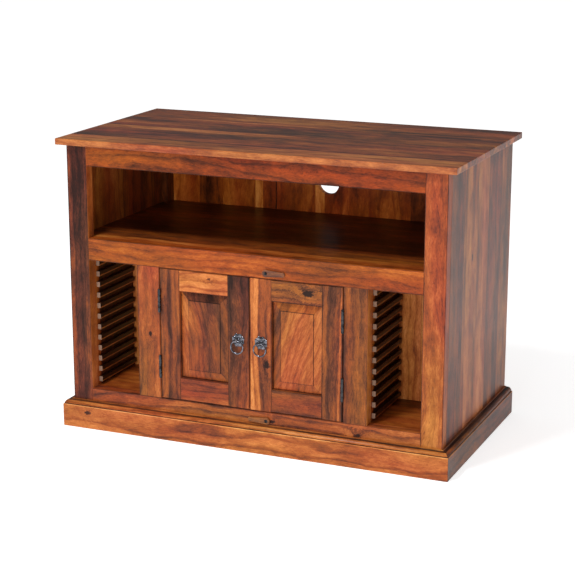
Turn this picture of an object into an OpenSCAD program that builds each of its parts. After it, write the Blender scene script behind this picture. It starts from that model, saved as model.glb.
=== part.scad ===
/* [Overall] */
// Height from the floor to the top surface
height = 790; // [640:1:960]
// Width across the two side panels
body_w = 1050; // [860:1:1300]
// Depth from the front of the face frame to the back
body_d = 562; // [460:1:680]

/* [Top board] */
// Thickness of the top board
top_t = 17; // [14:1:30]
// How far the top board passes each side panel
top_side_over = 25; // [8:1:40]
// How far the top board passes the face frame
top_front_over = 16; // [4:1:22]

/* [Case boards] */
// Thickness of the side panels, shelf, floor board and partitions
panel_t = 18; // [14:1:24]
// Thickness of the back panel
back_t = 18; // [10:1:24]
// Height of the open bay, from the shelf up to the top rail
bay_h = 194; // [140:1:240]
// Radius of the cable hole in the back panel
cable_hole_r = 32; // [15:1:45]
// Height of the cable hole's centre over the shelf
cable_hole_up = 87; // [60:1:100]
// Width of each cleat in the back corners of the open bay
cleat_w = 18; // [10:1:30]
// Depth of each cleat in the back corners of the open bay
cleat_d = 40; // [20:1:60]

/* [Face frame] */
// Thickness of the face frame, front to back
frame_t = 30; // [26:1:36]
// Width of the outer stiles
stile_w = 58; // [50:1:75]
// Width of the stiles between the doors and the racks
inner_stile_w = 64.5; // [50:0.5:80]
// Height of the top rail
top_rail_h = 54; // [40:1:70]
// Height of the rail in front of the shelf
mid_rail_h = 59; // [50:1:70]
// Height of the rail under the doors
bottom_rail_h = 60; // [50:1:70]
// How much of the bottom rail shows above the plinth
bottom_rail_show = 34; // [26:1:45]
// Thickness of the frame's tenons
tenon_t = 10; // [6:1:12]
// Length of the rails' tenons into the outer stiles
tenon_l = 35; // [15:1:40]
// Length of the inner stiles' stub tenons into the rails
stub_l = 15; // [8:1:20]
// Shoulder above and below each tenon
tenon_shoulder = 8; // [4:1:12]

/* [Plinth] */
// Height of the plinth where it meets the case
plinth_h = 75; // [60:1:95]
// Thickness of the plinth boards
plinth_t = 23; // [22:1:32]
// Radius of the rounded moulding along the plinth's top
mould_r = 11.5; // [8:0.5:12]
// Height of the small step next to the case
mould_step_h = 1.5; // [1:0.5:3]
// Width of the small step next to the case
mould_step_w = 5; // [3:0.5:7]
// Width of the ledge outside the moulding
mould_ledge_w = 2.5; // [1.5:0.5:3]

/* [Media racks] */
// Width of each rack, wall to wall
rack_w = 143.5; // [138:0.5:160]
// Depth of each rack, from the frame's front to its back board
rack_d = 240; // [220:1:300]
// Thickness of each rack's outer wall and back board
liner_t = 12; // [8:1:18]
// Height of one slat
slat_h = 14; // [10:0.5:18]
// How far a slat stands out of the wall
slat_out = 10; // [6:0.5:14]
// Gap between one slat and the next
slat_gap = 15.5; // [14.5:0.5:18]
// Least gap left above the highest slat and below the lowest
slat_end_gap = 5; // [2:0.5:15]
// Gap between the face frame and the front end of a slat
slat_front_gap = 6; // [2:1:12]
// Gap between the back end of a slat and the back board
slat_back_gap = 8; // [2:1:12]

/* [Doors] */
// Thickness of the door frames
door_t = 22; // [20:1:24]
// Gap above and below each door
door_gap = 2; // [1:0.5:4]
// Gap between the two doors
meet_gap = 3; // [3:0.5:5]
// Width of each door stile on the hinge side
hinge_stile_w = 56; // [45:1:65]
// Width of each door stile on the side of the pull
lock_stile_w = 60; // [50:1:65]
// Height of each door's top rail
door_top_rail_h = 56; // [45:1:65]
// Height of each door's bottom rail
door_bottom_rail_h = 61; // [45:1:70]
// Thickness of the stop behind the doors' top edges
stop_t = 8; // [6:1:12]
// Depth of the groove that holds the panel
groove_depth = 8; // [5:1:10]
// Width of the groove that holds the panel
groove_w = 6; // [5:1:8]
// Distance from the door's front to the groove
groove_in = 9; // [7:1:11]
// Length of the door rails' tenons
door_tenon_l = 30; // [15:1:40]
// Width of the bevel around the raised field
bevel_w = 23.5; // [10:0.5:24]
// How far the raised field stays behind the door's front
field_in = 3.5; // [2:0.5:4.5]
// Height of the small step at the edge of the field
field_step = 1.5; // [1:0.5:2]

/* [Hinges] */
// Height of each hinge
hinge_h = 60; // [40:1:75]
// Place of each hinge's centre, as a share of the door's height from its end
hinge_at = 0.245; // [0.22:0.005:0.26]
// Thickness of a hinge leaf
leaf_t = 1.2; // [1:0.1:2]
// How far a hinge leaf stays short of the door's back
leaf_short = 2; // [1:0.5:5]
// Radius of the hinge knuckles
knuckle_r = 3.7; // [3.2:0.1:3.9]
// Distance from the door's front out to the hinge pin's axis
hinge_out = 4; // [4:0.1:4.5]
// Radius of the hinge pins
hinge_pin_r = 1.5; // [1.2:0.1:1.6]

/* [Ring pulls] */
// Place of each pull, as a share of the door's height from its bottom
pull_at = 0.52; // [0.3:0.01:0.7]
// Distance from a door's meeting edge to its pull
pull_in = 30.5; // [24:0.5:36]
// Radius of the round plate behind the ring
rose_r = 19.5; // [16:0.5:22]
// Height of the round plate's dome
rose_h = 4.2; // [3:0.1:4.4]
// Radius of the ring, to the middle of its wire
ring_r = 17; // [15:0.5:22]
// Radius of the ring's wire
ring_wire_r = 1.9; // [1.5:0.1:2.1]
// Distance from the door's front out to the ring
ring_out = 9.5; // [9.3:0.1:11]
// Radius of the eye, to the middle of its wire
eye_r = 3.6; // [3.6:0.1:4]
// Radius of the eye's wire
eye_wire_r = 1.2; // [0.9:0.1:1.2]

/* [Turn buttons] */
// Distance from the middle of the cabinet to the turn buttons' screws
button_x = 48; // [35:1:80]
// Height of the upper turn button's screw above the door opening
top_button_up = 15; // [13:1:25]
// Height of the lower turn button's screw above the plinth
bottom_button_up = 11; // [10.5:0.5:12]
// Radius of a turn button's round head
button_head_r = 9.5; // [7:0.5:10]
// Radius of a turn button's tip
button_tip_r = 6; // [4:0.5:7]
// Distance from a turn button's screw to the middle of its tip
button_reach = 46; // [35:1:60]
// Thickness of a turn button
button_t = 6; // [4:0.5:9]

/* [Hidden] */
$fn = 48;

// Colours
front_wood = "#a85a2a";
dark_wood = "#7a4028";
side_wood = "#77584a";
inside_wood = "#8a4c22";
panel_wood = "#b06a34";
iron = "#2b2b30";
steel = "#9a9a98";

// Clearances
running_gap = 0.08;
sliding_gap = 0.4;
knuckle_gap = 0.3;
panel_float = 1;

// Heights of the case
case_top = height - top_t;
bay_top = case_top - top_rail_h;
shelf_top = bay_top - bay_h;
shelf_bottom = shelf_top - panel_t;
floor_top = plinth_h + bottom_rail_show;
top_rail_z = [bay_top, case_top];
mid_rail_z = [shelf_top - mid_rail_h, shelf_top];
bottom_rail_z = [floor_top - bottom_rail_h, floor_top];
opening_z = [floor_top, mid_rail_z[0]];
back_z = [20, case_top];

// Widths of the case, measured from its middle
case_x = body_w / 2;
side_x = case_x - panel_t;
frame_x = case_x - stile_w;
rack_x = [frame_x - rack_w, frame_x];
door_bay_x = rack_x[0] - inner_stile_w;
top_x = case_x + top_side_over;

// Depths of the case, measured from the front of the face frame
back_y = body_d - back_t;
front_y = (plinth_t - body_d) / 2;
frame_tenon_y = [(frame_t - tenon_t) / 2, (frame_t + tenon_t) / 2];

// Plinth moulding
mould_foot_h = plinth_h - mould_step_h - mould_r;
mould_centre = plinth_t - mould_ledge_w - mould_r;

// Slats
slat_pitch = slat_h + slat_gap;
opening_h = opening_z[1] - opening_z[0];
slat_count = floor((opening_h + slat_gap - 2 * slat_end_gap) / slat_pitch);
slat_first_z = opening_z[0] + (opening_h + slat_gap - slat_count * slat_pitch) / 2;

// Doors, drawn for the right-hand side
leaf_gap = sliding_gap;
hinge_gap = 2 * leaf_t + leaf_gap;
door_x = [meet_gap / 2, door_bay_x - hinge_gap];
door_z = [opening_z[0] + door_gap, opening_z[1] - door_gap];
door_h = door_z[1] - door_z[0];
panel_x = [door_x[0] + lock_stile_w, door_x[1] - hinge_stile_w];
panel_z = [door_z[0] + door_bottom_rail_h, door_z[1] - door_top_rail_h];
groove_y = [groove_in, groove_in + groove_w];
bevel_rise = groove_in - field_in - field_step;

// Hinges
leaf_d = door_t - leaf_short;
hinge_x = door_bay_x - hinge_gap / 2;
hinge_z = [door_z[0] + hinge_at * door_h, door_z[1] - hinge_at * door_h];
knuckle_count = 5;
knuckle_h = hinge_h / knuckle_count;
pin_head_r = 2.6;
pin_head_h = 1.6;

// Screws
screw_r = 1.4;
screw_head_r = 2.8;
screw_l = 18;
hinge_screw_step = hinge_h / 3;
hinge_screw_y = leaf_d * 0.6;
back_screw_l = 38;
back_screw_count = 5;
back_screw_span = body_w - 2 * stile_w - 2 * panel_t;

// Ring pulls, drawn for the right-hand door
pull_x = door_x[0] + pull_in;
pull_z = door_z[0] + pull_at * door_h;
rose_rim = 1.2;
eye_shank_r = 1.6;
nut_r = 4;
nut_h = 3;

// Door stop and catches
stop_h = 18;
stop_y = [door_t + sliding_gap, door_t + sliding_gap + stop_t];
stop_half_w = pull_x + lock_stile_w / 2;
catch_r = 5;
catch_t = 1.5;
magnet_h = 4;
catch_z = opening_z[1] - stop_h / 2;

// Turn buttons
button_pin_r = 2;
button_pin_l = 20;
button_cap_r = 4.5;
button_cap_h = 2;
button_neck_in = 0.5;
button_y = -sliding_gap - button_t;
top_button_z = opening_z[1] + top_button_up;
bottom_button_z = plinth_h + bottom_button_up;

// Moves the model so that its middle stands on the origin
module place() {
    translate([0, front_y, 0]) children();
}

// A board between two corners
module block(x, y, z) {
    translate([x[0], y[0], z[0]]) cube([x[1] - x[0], y[1] - y[0], z[1] - z[0]]);
}

// Draws right-hand shapes on either side of the cabinet
module on_side(side) {
    if (side < 0) mirror([1, 0, 0]) children();
    else children();
}

// A cylinder along Y between two depths
module rod_y(r, y) {
    translate([0, y[0], 0]) rotate([-90, 0, 0]) cylinder(r = r, h = y[1] - y[0]);
}

// A round dome that stands on the XY plane
module dome(r, rim, h) {
    cap_h = h - rim;
    cap_r = (r * r + cap_h * cap_h) / (2 * cap_h);
    rotate_extrude($fn = 96) {
        square([r, rim]);
        intersection() {
            translate([0, h - cap_r]) circle(r = cap_r, $fn = 360);
            square([r, h]);
        }
    }
}

// A wire ring around the Z axis
module wire_ring(r, wire_r) {
    rotate_extrude() translate([r, 0]) circle(r = wire_r, $fn = 32);
}

// A countersunk screw whose head is flush with z = 0 and whose point is below
module screw(length) {
    head_h = screw_head_r - screw_r;
    translate([0, 0, -head_h]) cylinder(r1 = screw_r, r2 = screw_head_r, h = head_h);
    translate([0, 0, -length]) cylinder(r = screw_r, h = length - head_h);
}

// Tenons at both ends of a rail of the face frame
module rail_tenons(z) {
    for (side = [-1, 1])
        on_side(side)
            block([frame_x, frame_x + tenon_l], frame_tenon_y,
                [z[0] + tenon_shoulder, z[1] - tenon_shoulder]);
}

module rail(z) {
    block([-frame_x, frame_x], [0, frame_t], z);
    rail_tenons(z);
}

// Stub tenons of both inner stiles, above and below
module inner_stile_tenons() {
    for (side = [-1, 1])
        on_side(side)
            block([door_bay_x + tenon_shoulder, rack_x[0] - tenon_shoulder], frame_tenon_y,
                [opening_z[0] - stub_l, opening_z[1] + stub_l]);
}

module outer_stile(side) {
    color(dark_wood) place() on_side(side) difference() {
        block([frame_x, case_x], [0, frame_t], [0, case_top]);
        rail_tenons(top_rail_z);
        rail_tenons(mid_rail_z);
        rail_tenons(bottom_rail_z);
    }
}

module inner_stile(side) {
    color(front_wood) place() difference() {
        union() {
            on_side(side) block([door_bay_x, rack_x[0]], [0, frame_t], opening_z);
            intersection() {
                inner_stile_tenons();
                on_side(side) block([0, case_x], [0, frame_t], [0, case_top]);
            }
        }
        on_side(side) frame_screws();
    }
}

module top_board() {
    color(dark_wood) place() block([-top_x, top_x], [-top_front_over, body_d], [case_top, height]);
}

module side_panel(side) {
    color(side_wood) place() on_side(side) block([side_x, case_x], [frame_t, body_d], [0, case_top]);
}

module back_panel() {
    color(inside_wood) place() difference() {
        block([-side_x, side_x], [back_y, body_d], back_z);
        translate([0, 0, shelf_top + cable_hole_up])
            rod_y(cable_hole_r, [back_y - 1, body_d + 1]);
        rear_screws();
    }
}

module shelf() {
    color(inside_wood) place() difference() {
        block([-side_x, side_x], [frame_t, back_y], [shelf_bottom, shelf_top]);
        rear_screws();
    }
}

module floor_board() {
    color(inside_wood) place() difference() {
        block([-side_x, side_x], [frame_t, back_y], [floor_top - panel_t, floor_top]);
        rear_screws();
    }
}

// Screws through the back panel into the shelf and the floor board
module rear_screws() {
    for (z = [shelf_top, floor_top])
        for (i = [0 : back_screw_count - 1])
            translate([back_screw_span * (i / (back_screw_count - 1) - 0.5), body_d, z - panel_t / 2])
                rotate([-90, 0, 0]) screw(back_screw_l);
}

module back_screws() {
    color(steel) place() rear_screws();
}

module cleat(side) {
    color(dark_wood) place() on_side(side)
        block([side_x - cleat_w, side_x], [back_y - cleat_d, back_y], [shelf_top, case_top]);
}

module top_rail() {
    color(front_wood) place() rail(top_rail_z);
}

module mid_rail() {
    color(front_wood) place() difference() {
        rail(mid_rail_z);
        inner_stile_tenons();
        button_pins();
    }
}

module bottom_rail() {
    color(front_wood) place() difference() {
        rail(bottom_rail_z);
        inner_stile_tenons();
        button_pins();
    }
}

// Outline of the plinth: distance out from the case, then height
module plinth_outline() {
    square([plinth_t, mould_foot_h]);
    square([mould_centre, plinth_h - mould_step_h]);
    square([mould_step_w, plinth_h]);
    intersection() {
        translate([mould_centre, mould_foot_h]) circle(r = mould_r, $fn = 64);
        square([plinth_t, plinth_h]);
    }
}

module plinth_front() {
    outer_x = case_x + plinth_t;
    color(front_wood) place() intersection() {
        translate([-outer_x, 0, 0]) rotate([90, 0, 90]) linear_extrude(2 * outer_x)
            mirror([1, 0, 0]) plinth_outline();
        linear_extrude(plinth_h)
            polygon([[-case_x, 0], [-outer_x, -plinth_t], [outer_x, -plinth_t], [case_x, 0]]);
    }
}

module plinth_side(side) {
    outer_x = case_x + plinth_t;
    color(side_wood) place() on_side(side) intersection() {
        translate([case_x, body_d, 0]) rotate([90, 0, 0]) linear_extrude(body_d + plinth_t)
            plinth_outline();
        linear_extrude(plinth_h)
            polygon([[case_x, 0], [outer_x, -plinth_t], [outer_x, body_d], [case_x, body_d]]);
    }
}

module rack_wall(side) {
    color(inside_wood) place() on_side(side)
        block([frame_x, frame_x + liner_t], [frame_t, rack_d + liner_t], [floor_top, shelf_bottom]);
}

module partition(side) {
    color(inside_wood) place() on_side(side)
        block([rack_x[0] - panel_t, rack_x[0]], [frame_t, back_y], [floor_top, shelf_bottom]);
}

module rack_back(side) {
    color(panel_wood) place() on_side(side)
        block(rack_x, [rack_d, rack_d + liner_t], [floor_top, shelf_bottom]);
}

// One column of slats between two distances from the cabinet's middle
module slats(side, x) {
    color(dark_wood) place() on_side(side)
        for (i = [0 : slat_count - 1])
            block(x, [frame_t + slat_front_gap, rack_d - slat_back_gap],
                [slat_first_z + i * slat_pitch, slat_first_z + i * slat_pitch + slat_h]);
}

module rack_slats(side) {
    slats(side, [rack_x[1] - slat_out, rack_x[1]]);
}

module partition_slats(side) {
    slats(side, [rack_x[0], rack_x[0] + slat_out]);
}

module door_stop() {
    color(dark_wood) place() difference() {
        block([-stop_half_w, stop_half_w], stop_y, [opening_z[1] - stop_h, opening_z[1]]);
        magnets();
    }
}

module magnets() {
    for (side = [-1, 1])
        translate([side * pull_x, 0, catch_z]) rod_y(catch_r, [stop_y[0], stop_y[0] + magnet_h]);
}

module catch_magnets() {
    color(steel) place() magnets();
}

// Right-hand catch plate, let into the back of the door
module catch_disc() {
    translate([pull_x, 0, catch_z]) rod_y(catch_r, [door_t - catch_t, door_t]);
}

module catch_plate(side) {
    color(steel) place() on_side(side) catch_disc();
}

// Screws of the right-hand frame leaves
module frame_screws() {
    for (z = hinge_z)
        for (i = [-1 : 1])
            translate([hinge_x + leaf_gap / 2, hinge_screw_y, z + i * hinge_screw_step])
                rotate([0, -90, 0]) screw(screw_l);
}

// Screws of the right-hand door leaves
module door_screws() {
    for (z = hinge_z)
        for (i = [-1 : 1])
            translate([hinge_x - leaf_gap / 2, hinge_screw_y, z + i * hinge_screw_step])
                rotate([0, 90, 0]) screw(screw_l);
}

// One leaf about its own pin; dir is 1 for the frame's leaf, which holds the pin, and -1 for the door's
module leaf(dir) {
    first = dir > 0 ? 0 : 1;
    plate_x = dir > 0 ? [leaf_gap / 2, leaf_gap / 2 + leaf_t] : [-leaf_gap / 2 - leaf_t, -leaf_gap / 2];
    hole_r = dir > 0 ? hinge_pin_r : hinge_pin_r + running_gap;
    difference() {
        union() {
            block(plate_x, [0, hinge_out + leaf_d], [-hinge_h / 2, hinge_h / 2]);
            for (i = [first : 2 : knuckle_count - 1])
                translate([0, 0, -hinge_h / 2 + i * knuckle_h + knuckle_gap / 2])
                    cylinder(r = knuckle_r, h = knuckle_h - knuckle_gap);
        }
        for (i = [1 - first : 2 : knuckle_count - 1])
            translate([-knuckle_r, -knuckle_r, -hinge_h / 2 + i * knuckle_h - knuckle_gap / 2])
                cube([2 * knuckle_r, 2 * knuckle_r + knuckle_gap, knuckle_h + knuckle_gap]);
        translate([0, 0, -hinge_h]) cylinder(r = hole_r, h = 2 * hinge_h);
    }
}

module frame_hinge_leaves() {
    color(iron) place() for (side = [-1, 1])
        on_side(side) difference() {
            for (z = hinge_z) translate([hinge_x, -hinge_out, z]) leaf(1);
            frame_screws();
        }
}

module frame_hinge_screws() {
    color(iron) place() for (side = [-1, 1]) on_side(side) frame_screws();
}

module hinge_pins() {
    color(iron) place() for (side = [-1, 1])
        on_side(side) for (z = hinge_z)
            translate([hinge_x, -hinge_out, z]) {
                cylinder(r = hinge_pin_r, h = hinge_h, center = true);
                translate([0, 0, hinge_h / 2]) cylinder(r = pin_head_r, h = pin_head_h);
                translate([0, 0, -hinge_h / 2 - pin_head_h]) cylinder(r = pin_head_r, h = pin_head_h);
            }
}

module door_hinge_leaves(side) {
    color(iron) place() on_side(side) difference() {
        for (z = hinge_z) translate([hinge_x, -hinge_out, z]) leaf(-1);
        door_screws();
    }
}

module door_hinge_screws(side) {
    color(iron) place() on_side(side) door_screws();
}

// Space that the right-hand panel and its grooves take in the door frame
module panel_groove() {
    block([panel_x[0] - groove_depth, panel_x[1] + groove_depth], groove_y,
        [panel_z[0] - groove_depth, panel_z[1] + groove_depth]);
}

// Tenons of one rail of the right-hand door
module door_rail_tenons(z) {
    block([panel_x[0] - door_tenon_l, panel_x[0]], groove_y, z);
    block([panel_x[1], panel_x[1] + door_tenon_l], groove_y, z);
}

door_top_tenon_z = [panel_z[1] + groove_depth, door_z[1] - tenon_shoulder];
door_bottom_tenon_z = [door_z[0] + tenon_shoulder, panel_z[0] - groove_depth];

module door_hinge_stile(side) {
    color(front_wood) place() on_side(side) difference() {
        block([panel_x[1], door_x[1]], [0, door_t], door_z);
        panel_groove();
        door_rail_tenons(door_top_tenon_z);
        door_rail_tenons(door_bottom_tenon_z);
        door_screws();
    }
}

module door_lock_stile(side) {
    color(front_wood) place() on_side(side) difference() {
        block([door_x[0], panel_x[0]], [0, door_t], door_z);
        panel_groove();
        door_rail_tenons(door_top_tenon_z);
        door_rail_tenons(door_bottom_tenon_z);
        translate([pull_x, 0, pull_z]) rod_y(eye_shank_r, [-1, door_t + 1]);
        catch_disc();
    }
}

module door_top_rail(side) {
    color(panel_wood) place() on_side(side) difference() {
        union() {
            block(panel_x, [0, door_t], [panel_z[1], door_z[1]]);
            door_rail_tenons(door_top_tenon_z);
        }
        panel_groove();
    }
}

module door_bottom_rail(side) {
    color(panel_wood) place() on_side(side) difference() {
        union() {
            block(panel_x, [0, door_t], [door_z[0], panel_z[0]]);
            door_rail_tenons(door_bottom_tenon_z);
        }
        panel_groove();
    }
}

// Section of a raised panel: place along the section, then depth from the door's front
function panel_section(span) =
    let (
        tongue = groove_depth - panel_float,
        field = [span[0] + bevel_w, span[1] - bevel_w],
        edge_y = groove_y[0] - bevel_rise
    )
    [
        [span[0] - tongue, groove_y[1]], [span[0] - tongue, groove_y[0]], [span[0], groove_y[0]],
        [field[0], edge_y], [field[0], field_in], [field[1], field_in], [field[1], edge_y],
        [span[1], groove_y[0]], [span[1] + tongue, groove_y[0]], [span[1] + tongue, groove_y[1]]
    ];

module door_panel(side) {
    color(panel_wood) place() on_side(side) intersection() {
        linear_extrude(case_top) polygon(panel_section(panel_x));
        rotate([90, 0, 90]) linear_extrude(case_x)
            polygon([for (point = panel_section(panel_z)) [point[1], point[0]]]);
    }
}

module pull_rose(side) {
    color(iron) place() on_side(side) translate([pull_x, 0, pull_z]) difference() {
        rotate([90, 0, 0]) dome(rose_r, rose_rim, rose_h);
        rod_y(eye_shank_r, [-rose_h - 1, 1]);
    }
}

module pull_eye(side) {
    color(iron) place() on_side(side) translate([pull_x, 0, pull_z]) {
        translate([0, -ring_out, 0]) rotate([0, 90, 0]) wire_ring(eye_r, eye_wire_r);
        rod_y(eye_shank_r, [eye_r - ring_out, door_t + nut_h]);
        translate([0, door_t, 0]) rotate([-90, 0, 0]) cylinder(r = nut_r, h = nut_h, $fn = 6);
    }
}

module pull_ring(side) {
    color(iron) place() on_side(side) translate([pull_x, -ring_out, pull_z - ring_r])
        rotate([90, 0, 0]) wire_ring(ring_r, ring_wire_r);
}

// A turn button that points along +X from its screw hole
module button_shape() {
    neck = [button_head_r - button_neck_in, button_tip_r - button_neck_in];
    rotate([-90, 0, 0]) difference() {
        linear_extrude(button_t) {
            circle(r = button_head_r);
            translate([button_reach, 0]) circle(r = button_tip_r);
            polygon([[0, -neck[0]], [button_reach, -neck[1]], [button_reach, neck[1]], [0, neck[0]]]);
        }
        translate([0, 0, -1]) cylinder(r = button_pin_r + running_gap, h = button_t + 2);
    }
}

module top_turn_button() {
    color(dark_wood) place() translate([button_x, button_y, top_button_z]) button_shape();
}

module bottom_turn_button() {
    color(dark_wood) place() translate([button_x, button_y, bottom_button_z])
        mirror([1, 0, 0]) button_shape();
}

// Screws on which the two turn buttons turn
module button_pins() {
    head_y = button_y - sliding_gap;
    for (z = [top_button_z, bottom_button_z])
        translate([button_x, 0, z]) {
            rod_y(button_pin_r, [head_y, button_pin_l]);
            translate([0, head_y, 0]) rotate([90, 0, 0]) dome(button_cap_r, 0.6, button_cap_h);
        }
}

module turn_button_screws() {
    color(iron) place() button_pins();
}

top_board();
side_panel(-1);  // left_side
side_panel(1);  // right_side
back_panel();
shelf();
floor_board();
outer_stile(-1);  // left_stile
outer_stile(1);  // right_stile
inner_stile(-1);  // left_inner_stile
inner_stile(1);  // right_inner_stile
top_rail();
mid_rail();
bottom_rail();
plinth_front();
plinth_side(-1);  // plinth_left
plinth_side(1);  // plinth_right
rack_wall(-1);  // left_rack_wall
rack_wall(1);  // right_rack_wall
partition(-1);  // left_partition
partition(1);  // right_partition
rack_back(-1);  // left_rack_back
rack_back(1);  // right_rack_back
rack_slats(-1);  // left_rack_slats
rack_slats(1);  // right_rack_slats
partition_slats(-1);  // left_partition_slats
partition_slats(1);  // right_partition_slats
cleat(-1);  // left_cleat
cleat(1);  // right_cleat
back_screws();
door_stop();
catch_magnets();
frame_hinge_leaves();
hinge_pins();
frame_hinge_screws();
door_hinge_stile(-1);  // left_door_hinge_stile
door_lock_stile(-1);  // left_door_lock_stile
door_top_rail(-1);  // left_door_top_rail
door_bottom_rail(-1);  // left_door_bottom_rail
door_panel(-1);  // left_door_panel
door_hinge_leaves(-1);  // left_door_hinge_leaves
door_hinge_screws(-1);  // left_door_hinge_screws
catch_plate(-1);  // left_catch_plate
pull_rose(-1);  // left_pull_rose
pull_eye(-1);  // left_pull_eye
pull_ring(-1);  // left_pull_ring
door_hinge_stile(1);  // right_door_hinge_stile
door_lock_stile(1);  // right_door_lock_stile
door_top_rail(1);  // right_door_top_rail
door_bottom_rail(1);  // right_door_bottom_rail
door_panel(1);  // right_door_panel
door_hinge_leaves(1);  // right_door_hinge_leaves
door_hinge_screws(1);  // right_door_hinge_screws
catch_plate(1);  // right_catch_plate
pull_rose(1);  // right_pull_rose
pull_eye(1);  // right_pull_eye
pull_ring(1);  // right_pull_ring
top_turn_button();
bottom_turn_button();
turn_button_screws();
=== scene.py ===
import math
import bmesh
import bpy
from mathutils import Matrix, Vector


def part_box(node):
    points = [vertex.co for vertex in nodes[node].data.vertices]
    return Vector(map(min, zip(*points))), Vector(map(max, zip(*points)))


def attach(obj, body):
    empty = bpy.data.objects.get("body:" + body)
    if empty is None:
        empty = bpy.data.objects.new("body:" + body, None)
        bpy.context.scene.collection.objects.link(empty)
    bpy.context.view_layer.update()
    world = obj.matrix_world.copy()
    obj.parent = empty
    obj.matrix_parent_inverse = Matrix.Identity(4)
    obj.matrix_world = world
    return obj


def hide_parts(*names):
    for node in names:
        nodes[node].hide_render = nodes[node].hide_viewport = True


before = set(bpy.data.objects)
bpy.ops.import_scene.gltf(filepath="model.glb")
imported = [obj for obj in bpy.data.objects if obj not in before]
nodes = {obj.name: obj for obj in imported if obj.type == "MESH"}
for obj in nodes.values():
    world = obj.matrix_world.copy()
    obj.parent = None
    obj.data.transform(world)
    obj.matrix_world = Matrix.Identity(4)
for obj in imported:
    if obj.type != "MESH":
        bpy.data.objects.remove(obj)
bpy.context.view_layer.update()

scene = bpy.context.scene
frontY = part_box("left_stile")[0].y  # front of the face frame


def addNode(tree, kind, inputs=None, **settings):
    made = tree.nodes.new("ShaderNode" + kind)
    for key, value in settings.items():
        setattr(made, key, value)
    for key, value in (inputs or {}).items():
        if isinstance(value, bpy.types.NodeSocket):
            tree.links.new(value, made.inputs[key])
        else:
            made.inputs[key].default_value = value
    return made


def maths(tree, operation, *values):
    return addNode(tree, "Math", dict(enumerate(values)), operation=operation).outputs[0]


def vector(tree, operation, *values):
    return addNode(tree, "VectorMath", dict(enumerate(values)), operation=operation).outputs


def addUp(tree, *values):
    result = values[0]
    for value in values[1:]:
        result = maths(tree, "ADD", result, value)
    return result


def mapRange(tree, value, start, end, first=0.0, last=1.0, curve="LINEAR"):
    reach = {"Value": value, "From Min": start, "From Max": end, "To Min": first, "To Max": last}
    return addNode(tree, "MapRange", reach, interpolation_type=curve).outputs["Result"]


def noise(tree, place, stretch, detail, rough):
    spread = vector(tree, "MULTIPLY", place, stretch)[0]
    settings = {"Vector": spread, "Scale": 1.0, "Detail": detail, "Roughness": rough}
    return addNode(tree, "TexNoise", settings).outputs["Fac"]


def swing(tree, value, amount):  # from 0..1 to minus and plus half the amount
    return maths(tree, "MULTIPLY", maths(tree, "SUBTRACT", value, 0.5), amount)


def ramp(tree, value, stops, steps=False):
    made = addNode(tree, "ValToRGB", {"Fac": value})
    strip = made.color_ramp
    strip.interpolation = "CONSTANT" if steps else "LINEAR"
    while len(strip.elements) < len(stops):
        strip.elements.new(1.0)
    for stop, (spot, colour) in zip(strip.elements, stops):
        stop.position = spot
        stop.color = (*colour, 1)
    return made.outputs["Color"]


def greyRamp(tree, value, stops, steps=False):
    stops = [(spot, (level, level, level)) for spot, level in stops]
    return addNode(tree, "SeparateColor", {0: ramp(tree, value, stops, steps)}).outputs[0]


def mixColour(tree, colour, other, share=1.0, blend="MIX"):
    inputs = {"Factor": share, "A": colour, "B": (*other, 1)}
    return addNode(tree, "Mix", inputs, data_type="RGBA", blend_type=blend).outputs[2]


def relief(tree, height, strength, depth):
    settings = {"Strength": strength, "Distance": depth, "Height": height}
    return addNode(tree, "Bump", settings).outputs["Normal"]


def emptyPaint(name):
    paint = bpy.data.materials.new(name)
    paint.use_nodes = True
    paint.node_tree.nodes.clear()
    return paint


def closePaint(tree, shader):
    tree.links.new(shader.outputs[0], addNode(tree, "OutputMaterial").inputs[0])


camera = {
    "away": (1.7031, -3.7438),  # from the middle of the face frame, in metres
    "height": 1.5087,
    "tilt": 75.41,
    "turn": 23.10,
    "lens": 104.15,
    "sensor": 36,
    "nearest": 0.05,
    "farthest": 60,
}


def makeCamera():
    data = bpy.data.cameras.new("camera")
    data.lens = camera["lens"]
    data.sensor_width = camera["sensor"]
    data.clip_start = camera["nearest"]
    data.clip_end = camera["farthest"]
    eye = bpy.data.objects.new("camera", data)
    eye.location = (camera["away"][0], frontY + camera["away"][1], camera["height"])
    eye.rotation_euler = (math.radians(camera["tilt"]), 0, math.radians(camera["turn"]))
    scene.collection.objects.link(eye)
    scene.camera = eye


studio = {
    "floorSize": 40,
    "floorDrop": 0.0005,
    "floorColour": (0.84, 0.84, 0.84),
    "floorRoughness": 0.9,
    "floorShine": 0.1,
    "floorGlow": (0.62, 0.74),  # beside the cabinet and far away; the weaker glow beside the cabinet paints a soft grey shadow round its base
    "glowReach": (0.7, 2.6),  # where the glow starts and stops growing
    "floorGloss": 0.45,  # share of the glow that shows in reflections
    "skyLight": 0.36,  # on matt surfaces
    "skyGloss": 0.12,  # in reflections
    "skySeen": 1.0,
    "lamps": {
        "key": {
            "place": (-0.55, -2.15, 3.5), "aim": (0.05, 0, 0.45),
            "size": 0.7, "power": 72, "shines": True,
        },
        "front": {
            "place": (0.5, -4.8, 0.95), "aim": (0, 0, 0.40),
            "size": 1.8, "power": 66, "shines": False,
        },
        "right": {
            "place": (4.2, -0.4, 1.6), "aim": (0.3, 0, 0.3),
            "size": 2.4, "power": 22, "shines": False,
        },
    },
}


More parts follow.
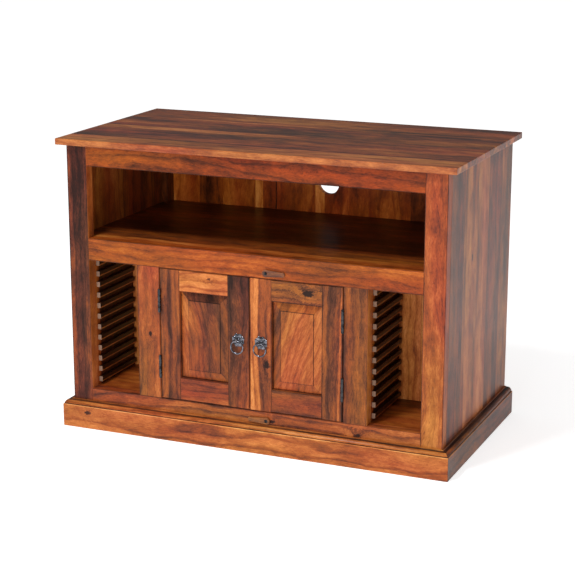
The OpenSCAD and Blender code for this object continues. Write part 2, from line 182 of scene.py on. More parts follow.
def makeFloor():
    bpy.ops.object.select_all(action="DESELECT")
    bpy.ops.mesh.primitive_plane_add(size=studio["floorSize"], location=(0, 0, -studio["floorDrop"]))
    floor = bpy.context.object
    floor.name = "studio_floor"
    paint = emptyPaint("studioFloor")
    tree = paint.node_tree
    where = addNode(tree, "TexCoord").outputs["Object"]
    far = vector(tree, "LENGTH", where)["Value"]
    # the glow is weaker beside the cabinet: a painted soft shadow round its base
    glow = mapRange(tree, far, *studio["glowReach"], *studio["floorGlow"])
    glossy = addNode(tree, "LightPath").outputs["Is Glossy Ray"]
    dim = mapRange(tree, glossy, 0, 1, 1.0, studio["floorGloss"])
    shader = addNode(tree, "BsdfPrincipled", {"Emission Strength": maths(tree, "MULTIPLY", glow, dim)})
    shader.inputs["Base Color"].default_value = (*studio["floorColour"], 1)
    shader.inputs["Roughness"].default_value = studio["floorRoughness"]
    shader.inputs["Specular IOR Level"].default_value = studio["floorShine"]
    shader.inputs["Emission Color"].default_value = (1, 1, 1, 1)
    closePaint(tree, shader)
    floor.data.materials.append(paint)


def makeSky():
    world = bpy.data.worlds.new("studioSky")
    world.use_nodes = True
    scene.world = world
    tree = world.node_tree
    back = tree.nodes["Background"]
    back.inputs["Color"].default_value = (1, 1, 1, 1)
    rays = addNode(tree, "LightPath").outputs
    dim = mapRange(tree, rays["Is Glossy Ray"], 0, 1, studio["skyLight"], studio["skyGloss"])
    power = addNode(tree, "Mix", {"Factor": rays["Is Camera Ray"], "A": dim, "B": studio["skySeen"]})
    tree.links.new(power.outputs[0], back.inputs["Strength"])
    scene.view_settings.view_transform = "Standard"
    scene.view_settings.look = "None"


def makeLamps():
    for name, lamp in studio["lamps"].items():
        data = bpy.data.lights.new(name, "AREA")
        data.shape = "DISK"
        data.size = lamp["size"]
        data.energy = lamp["power"]
        holder = bpy.data.objects.new(name, data)
        holder.location = lamp["place"]
        holder.visible_glossy = lamp["shines"]
        way = Vector(lamp["aim"]) - Vector(lamp["place"])
        holder.rotation_euler = way.to_track_quat("-Z", "Y").to_euler()
        scene.collection.objects.link(holder)


woodColours = {
    "vein": (0.022, 0.007, 0.004),
    "dark": (0.110, 0.029, 0.013),
    "base": (0.330, 0.078, 0.016),
    "light": (0.590, 0.190, 0.045),
    "pale": (0.880, 0.420, 0.150),
}
woodSpots = {"vein": 0.04, "dark": 0.27, "base": 0.5, "light": 0.73, "pale": 1.0}  # on the scale of tone

woodHabit = {
    "along": "X",  # way of the grain
    "across": "Z",  # the other way of the broad face
    "tone": 0.50,  # 0 dark heartwood to 1 pale sapwood
    "figure": 0.30,  # growth rings
    "ringsPerMetre": 55,
    "heart": (0.09, 0.05),  # where the tree's heart lies, across and into the board
    "arch": 0.05,  # how fast the rings close into arches
    "swell": 1.6,  # how uneven the rings are
    "warp": 0.03,  # how far the grain wanders sideways
    "slant": 0.0,  # how far the grain runs out sideways
    "streak": 0.8,  # dark and light heartwood streaks
    "fibre": 0.58,
    "mottle": 0.85,
    "contrast": 0.72,  # of figure, streak, fibre and mottle together
    "planks": (),  # (end as a share across, shift of tone)
    "stripes": (),  # (from, to, shift of tone) as shares across the board; on the shelf and the rack walls they paint light along the front
    "knots": (),  # (along, across, radius) in metres from the board's low corner
    "bevelPaintedLight": None,  # painted light and shade on a raised panel's sloping edges, each lighter or darker by the way it faces the light
    "fade": None,  # shift of tone at the low end and the high end
    "jointGrime": 0.0,  # shift of tone in the finish beside the long joints
    "lines": (),  # (spacing, from, to, shift of tone) of painted highlight and painted shade lines
    "tint": (1, 1, 1),
    "endGrain": None,  # colour of the cut ends
    "roughness": 0.34,
    "gloss": 0.3,
    "coat": 0.06,
    "edge": 0.0009,  # width of the rounded arris, in metres
}

patterns = {  # how fast each changes along, across and into a board, then its detail and roughness
    "bend": ((2.6, 7, 7), 2, 0.5),
    "wave": ((11, 26, 26), 2, 0.5),
    "swell": ((5, 16, 16), 4, 0.5),
    "streak": ((2.4, 12, 12), 2, 0.5),
    "mottle": ((17, 42, 42), 5, 0.66),
    "fibre": ((60, 480, 480), 3, 0.7),
    "pore": ((150, 1100, 1100), 1, 0.5),
    "hue": ((2.2, 13, 13), 2, 0.5),
    "knot": ((150, 260, 260), 2, 0.5),
    "blotch": ((90, 90, 90), 3, 0.5),
    "dent": ((260, 260, 260), 2, 0.5),
}

grain = {
    "waveWidth": 0.016,
    "ringShades": [(0, 0.62), (0.5, 0.72), (0.86, 0.12), (0.93, 0.3), (1.0, 0.62)],
    "archTop": (0.25, 0.5),  # least share along the board, and how much further the seed can put it
    "plankFold": (0.07, 0.04),  # least width of a glued board's own rings, and what the seed adds
    "seedShift": (9, 3, 5),  # how far the seed moves the patterns along, across and into the board
    "plankShift": (23.7, 1.9),  # how far a plank's tone moves them along and across
    "pore": (0.30, 0.40),
    "poreDark": 0.16,
    "knotFlat": 0.6,  # a knot is longer along the grain
    "knotBend": (4.5, 0.6),  # where the grain starts and stops bending aside, in radii of the knot
    "knotPush": 2.2,
    "knotRim": (1.15, 0.55),
    "knotDark": 0.42,
    "knotRagged": 2.2,
    "seamDark": 0.25,
    "seamHalf": 0.0006,
    "stripeSoft": 0.012,
    "grimeAt": 0.0011,  # distance of the grime line from a joint
    "grimeFull": 0.0002,
    "hueSwing": 0.05,
    "roughSwing": 0.25,
    "endDepth": 0.0012,
    "poreDeep": 0.6,
    "fibreHigh": 0.8,
    "seamDeep": 1.2,
    "bumpStrength": 0.25,
    "bumpHeight": 0.0004,
    "coatRoughness": 0.16,
    "refraction": 1.38,
}


def seedOf(name):
    number = 0
    for place, letter in enumerate(name):
        number = (number * 31 + ord(letter) * (place + 3)) % 9973
    return number / 9973


def layBoard(tree, name, wood):  # a, b and c run along, across and into the board, in metres
    low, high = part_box(name)
    along, across = "XYZ".index(wood["along"]), "XYZ".index(wood["across"])
    into = 3 - along - across
    where = addNode(tree, "SeparateXYZ", {0: addNode(tree, "TexCoord").outputs["Object"]}).outputs
    return {
        "seed": seedOf(name),
        "length": high[along] - low[along],
        "width": high[across] - low[across],
        "a": maths(tree, "SUBTRACT", where[along], low[along]),
        "b": maths(tree, "SUBTRACT", where[across], low[across]),
        "c": maths(tree, "SUBTRACT", where[into], low[into]),
    }


def plankTones(tree, wood, board):
    tones, lines, start = [], [(0.0, 1)], 0.0
    half = grain["seamHalf"] / board["width"]
    for end, change in wood["planks"]:
        tones.append((start, 0.5 + change))
        if end < 1:
            lines += [(end - half, 0), (end + half, 1)]
        start = end
    share = maths(tree, "DIVIDE", board["b"], board["width"])
    return greyRamp(tree, share, tones, steps=True), greyRamp(tree, share, lines, steps=True)


def layPatterns(tree, wood, board, plank):  # the place on the board, moved on for each board and plank
    shift = [board["seed"] * amount for amount in grain["seedShift"]]
    spot = [addUp(tree, board["a"], shift[0]), board["b"], addUp(tree, board["c"], shift[2])]
    if wood["planks"]:
        for way, amount in enumerate(grain["plankShift"]):
            spot[way] = addUp(tree, spot[way], maths(tree, "MULTIPLY", plank, amount))
    spot[1] = addUp(tree, spot[1], shift[1])
    return addNode(tree, "CombineXYZ", dict(enumerate(spot))).outputs[0]


def knotSpots(tree, wood, board, place):
    push, dark = 0.0, 0.0
    bendFrom, bendTo = grain["knotBend"]
    rimFrom, rimTo = grain["knotRim"]
    for alongAt, acrossAt, radius in wood["knots"]:
        lengthwise = maths(tree, "MULTIPLY", maths(tree, "SUBTRACT", board["a"], alongAt), grain["knotFlat"])
        sideways = maths(tree, "SUBTRACT", board["b"], acrossAt)
        away = addNode(tree, "CombineXYZ", {0: lengthwise, 1: sideways}).outputs[0]
        far = vector(tree, "LENGTH", away)["Value"]
        ragged = swing(tree, noise(tree, place, *patterns["knot"]), grain["knotRagged"])
        far = maths(tree, "MULTIPLY", far, maths(tree, "ADD", 1.0, ragged))
        near = mapRange(tree, far, radius * bendFrom, radius * bendTo, curve="SMOOTHSTEP")
        push = maths(tree, "ADD", push, maths(tree, "MULTIPLY", near, radius * grain["knotPush"]))
        spot = mapRange(tree, far, radius * rimFrom, radius * rimTo, curve="SMOOTHSTEP")
        dark = maths(tree, "MAXIMUM", dark, spot)
    return push, dark


def growthRings(tree, wood, board, place, flow):
    side = 1 if board["seed"] > 0.5 else -1
    middle = board["width"] * 0.5 + wood["heart"][0] * side
    sideways = addUp(tree, maths(tree, "SUBTRACT", board["b"], middle), flow)
    if wood["planks"]:
        least, more = grain["plankFold"]
        sideways = maths(tree, "PINGPONG", sideways, least + more * board["seed"])
    least, more = grain["archTop"]
    top = maths(tree, "SUBTRACT", board["a"], board["length"] * (least + more * board["seed"]))
    reach = {0: maths(tree, "MULTIPLY", top, wood["arch"]), 1: sideways}
    reach[2] = maths(tree, "ADD", board["c"], wood["heart"][1])
    reach = vector(tree, "LENGTH", addNode(tree, "CombineXYZ", reach).outputs[0])["Value"]
    swell = swing(tree, noise(tree, place, *patterns["swell"]), wood["swell"])
    rings = addUp(tree, maths(tree, "MULTIPLY", reach, wood["ringsPerMetre"]), swell)
    return greyRamp(tree, maths(tree, "FRACT", rings), grain["ringShades"])


def stripeTone(tree, wood, board, bend):
    soft = grain["stripeSoft"]
    wander = maths(tree, "DIVIDE", bend, board["width"] * 2)
    wander = addUp(tree, maths(tree, "DIVIDE", board["b"], board["width"]), wander)
    tone = 0.0
    for start, end, change in wood["stripes"]:
        rise = mapRange(tree, wander, start - soft, start + soft)
        fall = mapRange(tree, wander, end + soft, end - soft)
        stripe = maths(tree, "MULTIPLY", rise, fall)
        tone = addUp(tree, tone, maths(tree, "MULTIPLY", stripe, change))
    return tone


# a shift of tone from end to end, grime beside the long joints, and painted highlight and shade lines
def wearAndPaintedLightTone(tree, wood, board):
    tone = 0.0
    if wood["fade"]:
        tone = mapRange(tree, board["a"], 0.0, board["length"], *wood["fade"])
    if wood["jointGrime"]:
        least = maths(tree, "MINIMUM", board["b"], maths(tree, "SUBTRACT", board["width"], board["b"]))
        band = maths(tree, "ABSOLUTE", maths(tree, "SUBTRACT", least, grain["grimeAt"]))
        grimeAndPaintedShade = mapRange(tree, band, grain["grimeFull"], grain["grimeAt"], wood["jointGrime"], 0.0)
        tone = addUp(tree, tone, grimeAndPaintedShade)
    # painted highlight and painted shade lines
    for pitch, start, end, change in wood["lines"]:
        rung = maths(tree, "MODULO", board["b"], pitch)
        after = maths(tree, "GREATER_THAN", rung, start)
        line = maths(tree, "MULTIPLY", after, maths(tree, "LESS_THAN", rung, end))
        tone = addUp(tree, tone, maths(tree, "MULTIPLY", line, change))
    return tone


panelBevel = {
    "hidden": 0.0075,  # how much of the panel's edge is in its groove
    "wide": 0.0235,
    # painted shade in the groove and along the step where the field meets the bevels
    "grimeAndPaintedShade": -0.3,
    "grooveShade": (0.0005, 0.0035),  # painted shade beside the groove: where it starts and ends to thin, from the groove
    "stepHalf": 0.0008,
    "sameEdge": 0.00001,
}


# painted light and shade on a raised panel: each sloping edge lighter or darker by how it faces the light,
# painted shade in the groove and along the step
def bevelLightAndShade(tree, board, shifts):
    hidden, wide, grimeAndPaintedShade = panelBevel["hidden"], panelBevel["wide"], panelBevel["grimeAndPaintedShade"]
    sides = {
        "left": maths(tree, "SUBTRACT", board["b"], hidden),
        "right": maths(tree, "SUBTRACT", board["width"] - hidden, board["b"]),
        "bottom": maths(tree, "SUBTRACT", board["a"], hidden),
        "top": maths(tree, "SUBTRACT", board["length"] - hidden, board["a"]),
    }
    least = maths(tree, "MINIMUM", sides["left"], sides["right"])
    least = maths(tree, "MINIMUM", least, maths(tree, "MINIMUM", sides["bottom"], sides["top"]))
    slope = maths(tree, "LESS_THAN", least, wide)
    inGrooveShade = mapRange(tree, least, *panelBevel["grooveShade"], grimeAndPaintedShade, 0.0)
    fromStep = maths(tree, "ABSOLUTE", maths(tree, "SUBTRACT", least, wide))
    nearStep = maths(tree, "LESS_THAN", fromStep, panelBevel["stepHalf"])
    tone = addUp(tree, inGrooveShade, maths(tree, "MULTIPLY", nearStep, grimeAndPaintedShade))
    for side, far in sides.items():
        here = maths(tree, "LESS_THAN", maths(tree, "SUBTRACT", far, least), panelBevel["sameEdge"])
        here = maths(tree, "MULTIPLY", slope, here)
        tone = addUp(tree, tone, maths(tree, "MULTIPLY", here, shifts[side]))
    return tone


def woodColour(tree, wood, board, place, value):
    colour = ramp(tree, value, [(woodSpots[key], woodColours[key]) for key in woodSpots])
    hue = addUp(tree, 0.5, swing(tree, noise(tree, place, *patterns["hue"]), grain["hueSwing"]))
    colour = addNode(tree, "HueSaturation", {"Hue": hue, "Color": colour}).outputs["Color"]
    colour = mixColour(tree, colour, wood["tint"], blend="MULTIPLY")
    if wood["endGrain"]:
        nearLow = maths(tree, "LESS_THAN", board["a"], grain["endDepth"])
        nearHigh = maths(tree, "GREATER_THAN", board["a"], board["length"] - grain["endDepth"])
        colour = mixColour(tree, colour, wood["endGrain"], maths(tree, "MAXIMUM", nearLow, nearHigh))
    return colour


def woodMaterial(name, changes):
    wood = {**woodHabit, **changes}
    paint = emptyPaint(name + "Wood")
    tree = paint.node_tree
    board = layBoard(tree, name, wood)
    tone, plank, seams = wood["tone"], None, None
    if wood["planks"]:
        plank, seams = plankTones(tree, wood, board)
        tone = addUp(tree, maths(tree, "SUBTRACT", plank, 0.5), tone)
    place = layPatterns(tree, wood, board, plank)

    bend = swing(tree, noise(tree, place, *patterns["bend"]), wood["warp"] * 2)
    wave = swing(tree, noise(tree, place, *patterns["wave"]), grain["waveWidth"])
    push, knotDark = knotSpots(tree, wood, board, place)
    flow = addUp(tree, bend, wave, maths(tree, "MULTIPLY", board["a"], wood["slant"]), push)
    rings = growthRings(tree, wood, board, place, flow)
    place = vector(tree, "ADD", place, addNode(tree, "CombineXYZ", {1: flow}).outputs[0])[0]
    fibres = noise(tree, place, *patterns["fibre"])
    pores = mapRange(tree, noise(tree, place, *patterns["pore"]), *grain["pore"])

    value = addUp(
        tree,
        swing(tree, rings, wood["figure"]),
        swing(tree, noise(tree, place, *patterns["streak"]), wood["streak"]),
        swing(tree, fibres, wood["fibre"]),
        swing(tree, noise(tree, place, *patterns["mottle"]), wood["mottle"]),
    )
    value = addUp(tree, tone, maths(tree, "MULTIPLY", value, wood["contrast"]))
    value = addUp(tree, value, stripeTone(tree, wood, board, bend), wearAndPaintedLightTone(tree, wood, board))
    if wood["bevelPaintedLight"]:
        value = addUp(tree, value, bevelLightAndShade(tree, board, wood["bevelPaintedLight"]))
    value = addUp(tree, value, mapRange(tree, pores, 0, 1, -grain["poreDark"], 0.0))
    value = maths(tree, "SUBTRACT", value, maths(tree, "MULTIPLY", knotDark, grain["knotDark"]))
    if seams:
        value = addUp(tree, value, mapRange(tree, seams, 0, 1, -grain["seamDark"], 0.0))
    colour = woodColour(tree, wood, board, place, value)

    roughness = addUp(tree, wood["roughness"], swing(tree, fibres, grain["roughSwing"]))
    height = maths(tree, "MULTIPLY", pores, grain["poreDeep"])
    height = addUp(tree, height, maths(tree, "MULTIPLY", fibres, grain["fibreHigh"]))
    if seams:
        height = addUp(tree, height, maths(tree, "MULTIPLY", seams, grain["seamDeep"]))
    bump = relief(tree, height, grain["bumpStrength"], grain["bumpHeight"])
    shader = addNode(
        tree, "BsdfPrincipled", {"Base Color": colour, "Roughness": roughness, "Normal": bump},
    )
    shader.inputs["Coat Weight"].default_value = wood["coat"]
    shader.inputs["Coat Roughness"].default_value = grain["coatRoughness"]
    shader.inputs["IOR"].default_value = grain["refraction"]
    shader.inputs["Specular IOR Level"].default_value = wood["gloss"]
    closePaint(tree, shader)
    return paint


def coverNode(name, paint):
    data = nodes[name].data
    data.materials.clear()
    data.materials.append(paint)


boardEdges = {
    "weld": 0.00002,
    "flatAngle": 1,  # faces closer than this are one
    "arrisAngle": 40,  # edges sharper than this are rounded
    "arrisSteps": 2,
}


def roundArris(name, width):
    board = nodes[name]
    weld = board.modifiers.new("weld", "WELD")
    weld.merge_threshold = boardEdges["weld"]
    flat = board.modifiers.new("flat", "DECIMATE")
    flat.decimate_type = "DISSOLVE"
    flat.angle_limit = math.radians(boardEdges["flatAngle"])
    arris = board.modifiers.new("arris", "BEVEL")
    arris.width = width
    arris.segments = boardEdges["arrisSteps"]
    arris.limit_method = "ANGLE"
    arris.angle_limit = math.radians(boardEdges["arrisAngle"])
    arris.use_clamp_overlap = True


# what several boards share
stile = {"along": "Z", "across": "X", "jointGrime": -0.3}
rail = {"along": "X", "across": "Z", "jointGrime": -0.3}
inside = {"tint": (0.80, 0.72, 0.50), "coat": 0.15, "roughness": 0.42}
# a painted cool grey sheen on the right-facing side and plinth
rightSheenTint = (0.80, 0.84, 0.92)
# painted highlight on the moulding's ledge arris, painted shade in the crevice above it and at the step
# under the body
mouldHighlightAndShadeLines = ((1, 0.0606, 0.0621, 0.28), (1, 0.0622, 0.0644, -0.4), (1, 0.0724, 0.0738, -0.35))
rackWall = {**inside, "along": "Z", "across": "Y", "tone": 0.16, "streak": 0.4, "warp": 0.0}
slats = {
    "along": "Y", "across": "Z", "tone": 0.04, "figure": 0.1, "edge": 0.0012, "streak": 0.2,
    # the line along each slat's lower edge is a painted highlight
    "endGrain": (0.26, 0.16, 0.11), "mottle": 0.15, "lines": ((0.0295, 0.0, 0.0034, 0.6),),
    "tint": (0.75, 0.72, 0.72),
}

# one entry for each board; what it leaves out is as in woodHabit
woodPieces = {
    "top_board": {
        "along": "X", "across": "Y", "tone": 0.49, "figure": 0.22, "streak": 1.2, "warp": 0.014,
        "planks": ((0.15, 0.04), (0.4, -0.07), (0.47, -0.02), (0.78, -0.09), (1.0, -0.03)),
        "stripes": (
            (0.045, 0.055, 0.2), (0.095, 0.105, 0.16), (0.15, 0.17, -0.15), (0.45, 0.46, 0.12),
            (0.73, 0.75, 0.28), (0.9, 0.91, 0.14),
        ),
        "tint": (0.92, 0.95, 1.0), "coat": 0.25, "edge": 0.0016, "gloss": 0.5,
    },
    "left_side": {
        "along": "Z", "across": "Y", "tone": 0.46, "planks": ((0.45, 0.07), (0.8, -0.07), (1.0, -0.1)),
        "tint": (0.9, 0.88, 0.8),
    },
    "right_side": {
        "along": "Z", "across": "Y", "tone": 0.49, "figure": 0.22, "streak": 1.2,
        "planks": ((0.2, -0.1), (0.42, 0.04), (0.6, 0.05), (0.82, -0.1), (1.0, -0.04)),
        "stripes": ((0.25, 0.32, 0.15), (0.47, 0.55, 0.12)), "tint": rightSheenTint, "coat": 0.1,
        "gloss": 0.5, "warp": 0.012, "knots": ((0.52, 0.185, 0.007),), "fade": (0.0, -0.09),
    },
    "back_panel": {
        "along": "Z", "across": "X", "tone": 0.53, "streak": 1.2, "tint": (0.95, 0.75, 0.45),
        "planks": (
            (0.1, 0.2), (0.175, -0.12), (0.275, 0.06), (0.3, 0.3), (0.34, -0.18), (0.46, -0.06),
            (0.485, 0.28), (0.62, -0.02), (0.74, -0.06), (0.84, -0.16), (0.93, 0.05), (1.0, -0.05),
        ),
    },
    "shelf": {
        **inside, "along": "X", "across": "Y", "tone": 0.33,
        "planks": ((0.22, 0.05), (0.5, -0.08), (0.76, 0.0), (1.0, -0.1)), "coat": 0.1,
        # the stripe paints light along the shelf's front, where light reaches in under the top rail
        "stripes": ((-0.1, 0.055, 0.3),), "warp": 0.01,
    },
    "floor_board": {
        **inside, "along": "X", "across": "Y", "tone": 0.5,
        "planks": ((0.3, 0.06), (0.6, -0.05), (1.0, 0.0)),
    },
    "left_stile": {
        **stile, "tone": 0.15, "figure": 0.25, "stripes": ((0.0, 0.22, 0.1), (0.8, 1.0, 0.16)),
        # the line paints light on the stile's right-facing side face
        "tint": (1, 0.9, 0.95), "lines": ((1, 0.0572, 1, 0.36),), "fade": (0.05, -0.05),
    },
    "right_stile": {
        **stile, "tone": 0.52, "figure": 0.22, "streak": 0.5, "heart": (0.02, 0.03),
        "ringsPerMetre": 90,
    },
    "left_inner_stile": {
        **stile, "tone": 0.4, "figure": 0.2, "streak": 0.6, "knots": ((0.19, 0.036, 0.0045),),
        # the line paints light on the stile's right-facing side face
        "lines": ((1, 0.0638, 1, 0.1),),
    },
    "right_inner_stile": {
        **stile, "tone": 0.4, "figure": 0.2, "stripes": ((0.3, 0.62, -0.05),), "tint": (1, 0.96, 0.95),
        # the line paints light on the stile's right-facing side face
        "lines": ((1, 0.0638, 1, 0.28),),
    },
    "top_rail": {
        **rail, "tone": 0.38, "figure": 0.34, "heart": (0.03, 0.02), "streak": 0.5,
        "tint": (1, 0.76, 0.4), "fade": (-0.04, 0.02),
    },
    "mid_rail": {**rail, "tone": 0.43, "figure": 0.28, "streak": 1.1, "tint": (1, 0.82, 0.5)},
    "bottom_rail": {
        **rail, "tone": 0.43, "figure": 0.5, "streak": 0.5, "heart": (0.02, 0.02),
        "knots": ((0.565, 0.036, 0.005), (0.8, 0.03, 0.006)), "fade": (-0.04, 0.06),
    },
    "plinth_front": {
        "along": "X", "across": "Z", "tone": 0.54, "figure": 0.5, "heart": (0.01, 0.03), "streak": 0.9,
        "knots": ((0.075, 0.045, 0.006),), "edge": 0.0012, "lines": mouldHighlightAndShadeLines,
    },
    "plinth_left": {"along": "Y", "across": "Z", "tone": 0.4, "edge": 0.0012, "lines": mouldHighlightAndShadeLines},
    "plinth_right": {
        "along": "Y", "across": "Z", "tone": 0.36, "tint": rightSheenTint, "coat": 0.1, "edge": 0.0012,
        "gloss": 0.5, "lines": mouldHighlightAndShadeLines,
    },
    # the stripes paint light on each wall's front strip, where light reaches into the rack
    "left_rack_wall": {**rackWall, "stripes": ((-0.1, 0.085, 0.42),)},
    "right_rack_wall": {**rackWall, "stripes": ((-0.1, 0.085, 0.42),)},
    "left_partition": {**rackWall, "stripes": ((-0.1, 0.042, 0.42),)},
    "right_partition": {**rackWall, "stripes": ((-0.1, 0.042, 0.42),)},
    # the pale tone is painted light, standing in for light reaching the back of the rack
    "left_rack_back": {"along": "Z", "across": "X", "tone": 0.78, "contrast": 0.5},
    "right_rack_back": {
        "along": "Z", "across": "X", "tone": 0.68, "figure": 0.4, "heart": (0.02, 0.02),
        "planks": ((0.42, 0.02), (1.0, -0.04)),
    },
    "left_rack_slats": slats,
    "right_rack_slats": slats,
    "left_partition_slats": slats,
    "right_partition_slats": slats,
    "left_cleat": {**inside, "along": "Z", "across": "Y", "tone": 0.25},
    "right_cleat": {**inside, "along": "Z", "across": "Y", "tone": 0.25},
    "door_stop": {**inside, "along": "X", "across": "Z", "tone": 0.35},
    "left_door_hinge_stile": {
        **stile, "tone": 0.38, "figure": 0.28, "stripes": ((0.35, 0.6, -0.1),), "fade": (-0.05, 0.05),
    },
    "left_door_lock_stile": {
        **stile, "tone": 0.17, "figure": 0.28, "tint": (0.95, 0.92, 0.95), "fade": (0.16, -0.06),
        "stripes": ((-0.1, 0.1, 0.1), (0.9, 1.1, 0.1)),
    },
    "left_door_top_rail": {
        **rail, "tone": 0.68, "figure": 0.5, "heart": (0.01, 0.02), "ringsPerMetre": 75,
        "knots": ((0.115, 0.04, 0.003),),
    },
    "left_door_bottom_rail": {**rail, "tone": 0.4},
    "left_door_panel": {
        "along": "Z", "across": "X", "tone": 0.35, "figure": 0.22, "streak": 0.9, "warp": 0.06,
        # the bevels' shifts are painted light and shade, the top one in the top rail's shadow
        "slant": 0.25, "bevelPaintedLight": {"left": 0.1, "right": -0.03, "top": -0.14, "bottom": 0.08},
    },
    "right_door_hinge_stile": {
        **stile, "tone": 0.33, "figure": 0.28, "stripes": ((0.3, 0.7, -0.08), (0.9, 1.0, 0.2)),
    },
    "right_door_lock_stile": {
        **stile, "tone": 0.44, "figure": 0.4,
        "stripes": ((-0.1, 0.38, 0.24), (0.12, 0.18, -0.1), (0.78, 0.9, 0.1)),
        "knots": ((0.126, 0.046, 0.0075),),
    },
    "right_door_top_rail": {
        **rail, "tone": 0.42, "figure": 0.45, "heart": (0.0, 0.01), "knots": ((0.13, 0.03, 0.009),),
    },
    "right_door_bottom_rail": {**rail, "tone": 0.34, "figure": 0.35, "heart": (0.0, 0.02)},
    "right_door_panel": {
        "along": "Z", "across": "X", "tone": 0.54, "figure": 0.26, "streak": 0.6, "slant": -0.35,
        # the bevels' shifts are painted light and shade, the left one in shade
        "bevelPaintedLight": {"left": -0.16, "right": 0.05, "top": -0.05, "bottom": -0.04},
    },
    "top_turn_button": {
        "along": "X", "across": "Z", "tone": 0.24, "figure": 0.15, "edge": 0.0012,
        "tint": (1.2, 1.9, 2.4),
    },
    "bottom_turn_button": {
        "along": "X", "across": "Z", "tone": 0.3, "figure": 0.15, "edge": 0.0012,
        "tint": (1.2, 1.7, 2.0),
    },
}

metals = {
    "blackIron": {"colour": (0.06, 0.063, 0.07), "metallic": 0.85, "roughness": 0.28, "dents": 0.35},
    "wornIron": {"colour": (0.21, 0.22, 0.26), "metallic": 0.9, "roughness": 0.18, "dents": 0.3},
    "bareSteel": {"colour": (0.42, 0.41, 0.39), "metallic": 1.0, "roughness": 0.35, "dents": 0.1},
}
metalHabit = {
    "dark": 0.25,  # colour of the darkest blotches, as a share of the metal's own
    "warm": (1.7, 1.6, 1.5),  # colour of the rubbed blotches, as a share of the metal's own
    "blotchAt": (0.32, 0.5, 0.7),
    "roughSwing": 0.4,
    "dentDepth": 0.0008,
    "smoothAngle": 35,
}


def metalMaterial(name, metal):
    paint = emptyPaint(name)
    tree = paint.node_tree
    where = addNode(tree, "TexCoord").outputs["Object"]
    blotch = noise(tree, where, *patterns["blotch"])
    dents = noise(tree, where, *patterns["dent"])
    dark = [value * metalHabit["dark"] for value in metal["colour"]]
    warm = [value * more for value, more in zip(metal["colour"], metalHabit["warm"])]
    colour = ramp(tree, blotch, list(zip(metalHabit["blotchAt"], (dark, metal["colour"], warm))))
    roughness = addUp(tree, metal["roughness"], swing(tree, blotch, metalHabit["roughSwing"]))
    bump = relief(tree, dents, metal["dents"], metalHabit["dentDepth"])
    shader = addNode(
        tree, "BsdfPrincipled", {"Base Color": colour, "Roughness": roughness, "Normal": bump},
    )
    shader.inputs["Metallic"].default_value = metal["metallic"]
    closePaint(tree, shader)
    return paint


def freshStart():
    if bpy.context.mode != "OBJECT":
        bpy.ops.object.mode_set(mode="OBJECT")
    bpy.ops.object.select_all(action="DESELECT")


def editAll():
    bpy.ops.object.mode_set(mode="EDIT")
    bpy.ops.mesh.select_all(action="SELECT")


def pick(thing):
    freshStart()
    thing.select_set(True)
    bpy.context.view_layer.objects.active = thing


def joinAs(name, parts):
    freshStart()
    for part in parts:
        part.select_set(True)
    bpy.context.view_layer.objects.active = parts[0]
    bpy.ops.object.join()
    bpy.ops.object.transform_apply(location=True, rotation=True, scale=True)
    whole = bpy.context.object
    whole.name = name
    return whole


def finishMetal(piece, paint, body, node):
    pick(piece)
    bpy.ops.object.shade_smooth_by_angle(angle=math.radians(metalHabit["smoothAngle"]))
    piece.data.materials.clear()
    piece.data.materials.append(paint)
    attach(piece, body)
    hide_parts(node)


rosette = {
    "petals": 8,
    "petalReach": 0.0115,  # from the middle of the rose to the middle of a petal
    "petalSize": (0.0072, 0.0026, 0.0054),  # half its length, height and width
    "petalSink": 0.0006,
    "petalFacets": (28, 16),
    "plateRadius": 0.0165,
    "plateThick": 0.0012,
    "plateFacets": 72,
    "plateRound": 0.0004,
    "plateRoundSteps": 2,
    "bossSize": (0.0058, 0.0033, 0.0058),
    "bossSink": 0.0008,
    "bossFacets": (32, 20),
}


def makeDome(place, size, facets):
    freshStart()
    segments, rings = facets
    bpy.ops.mesh.primitive_uv_sphere_add(segments=segments, ring_count=rings, radius=1, location=place)
    dome = bpy.context.object
    dome.scale = size
    bpy.ops.object.transform_apply(location=True, rotation=True, scale=True)
    return dome


def makePetal():
    place = (rosette["petalReach"], -rosette["petalSink"], 0)
    petal = makeDome(place, rosette["petalSize"], rosette["petalFacets"])
    editAll()
    bpy.ops.mesh.bisect(plane_co=(0, 0, 0), plane_no=(0, 1, 0), use_fill=True, clear_outer=True)
    bpy.ops.object.mode_set(mode="OBJECT")
    return petal


def makePlate(middle, face):
    freshStart()
    bpy.ops.mesh.primitive_cylinder_add(
        vertices=rosette["plateFacets"], radius=rosette["plateRadius"], depth=rosette["plateThick"],
        location=(middle.x, face - rosette["plateThick"] / 2, middle.z), rotation=(math.pi / 2, 0, 0),
    )
    plate = bpy.context.object
    editAll()
    bpy.ops.mesh.bevel(offset=rosette["plateRound"], segments=rosette["plateRoundSteps"])
    return plate


def makeRosette(side, paint):
    low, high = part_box(side + "_pull_rose")
    middle = (low + high) / 2
    face = high.y  # the door's front
    parts = [makePlate(middle, face)]
    petal = makePetal()
    for number in range(rosette["petals"]):
        copy = bpy.data.objects.new("petal", petal.data.copy())
        scene.collection.objects.link(copy)
        copy.location = (middle.x, face, middle.z)
        copy.rotation_euler = (0, -(number + 0.5) * math.tau / rosette["petals"], 0)
        parts.append(copy)
    bpy.data.objects.remove(petal)
    bossPlace = (middle.x, face - rosette["bossSink"], middle.z)
    parts.append(makeDome(bossPlace, rosette["bossSize"], rosette["bossFacets"]))
    whole = joinAs(side + "_rosette", parts)
    finishMetal(whole, paint, side + "_door", side + "_pull_rose")


screwSlot = {
    "width": 0.0009,
    "depth": 0.0009,
    "turn": 37,  # each slot stands 37 degrees on from the last
    "weld": 0.00001,
    "flatness": 0.00005,  # how far the points of a head's flat lie from its highest
}


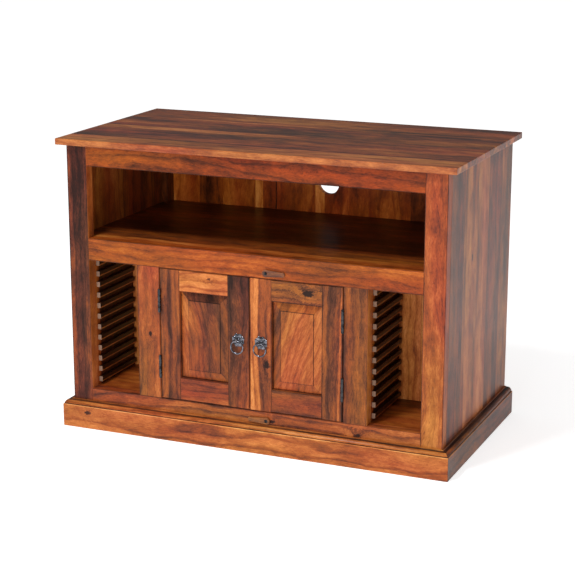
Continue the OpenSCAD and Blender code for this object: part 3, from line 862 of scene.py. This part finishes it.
def screwHeads(mesh, out):  # the middle of each head's flat, where out is its way along y
    work = bmesh.new()
    work.from_mesh(mesh)
    waiting, heads = set(work.verts), []
    for start in work.verts:  # in the mesh's own order, so that every run gives the same slots
        if start not in waiting:
            continue
        waiting.remove(start)
        stack, screw = [start], []
        while stack:
            vert = stack.pop()
            screw.append(vert.co.copy())
            for edge in vert.link_edges:
                other = edge.other_vert(vert)
                if other in waiting:
                    waiting.remove(other)
                    stack.append(other)
        far = max(point.y * out for point in screw) * out
        head = [point for point in screw if abs(point.y - far) < screwSlot["flatness"]]
        heads.append(sum(head, Vector()) / len(head))
    work.free()
    return heads


def slotBar(middle, reach, turn):
    freshStart()
    bpy.ops.mesh.primitive_cube_add(size=1, location=middle)
    bar = bpy.context.object
    bar.scale = (reach * 2, screwSlot["depth"] * 2, screwSlot["width"])
    bpy.ops.object.transform_apply(location=False, rotation=False, scale=True)
    bar.rotation_euler = (0, math.radians(turn), 0)
    return bar


def slotScrews(name, out, reach, body, paint, quarters):  # two quarters make a cross
    copy = bpy.data.objects.new(name + "_slotted", nodes[name].data.copy())
    scene.collection.objects.link(copy)
    pick(copy)
    editAll()
    bpy.ops.mesh.remove_doubles(threshold=screwSlot["weld"])
    bpy.ops.object.mode_set(mode="OBJECT")
    bars = []
    for count, middle in enumerate(screwHeads(copy.data, out)):
        for quarter in range(quarters):
            bars.append(slotBar(middle, reach, screwSlot["turn"] * (count + 1) + 90 * quarter))
    cutter = joinAs("slot_cutter", bars)
    pick(copy)
    cut = copy.modifiers.new("slots", "BOOLEAN")
    cut.operation = "DIFFERENCE"
    cut.object = cutter
    cut.solver = "EXACT"
    cut.use_self = True
    bpy.ops.object.modifier_apply(modifier="slots")
    bpy.data.objects.remove(cutter)
    finishMetal(copy, paint, body, name)


makeCamera()
makeFloor()
makeSky()
makeLamps()
print("studio ready")

for name, wood in woodPieces.items():
    coverNode(name, woodMaterial(name, wood))
    roundArris(name, wood.get("edge", woodHabit["edge"]))
print("boards finished:", len(woodPieces))

metalPaints = {name: metalMaterial(name, metal) for name, metal in metals.items()}
for name in nodes:
    if name in ("back_screws", "catch_magnets"):
        coverNode(name, metalPaints["bareSteel"])
    elif "_pull_" in name:
        coverNode(name, metalPaints["wornIron"])
    elif name not in woodPieces:
        coverNode(name, metalPaints["blackIron"])
print("metal finished")

for side in ("left", "right"):
    makeRosette(side, metalPaints["wornIron"])
slotScrews("turn_button_screws", -1, 0.0035, "cabinet", metalPaints["blackIron"], 1)
slotScrews("back_screws", 1, 0.0019, "cabinet", metalPaints["bareSteel"], 2)
print("rosettes and screws finished")
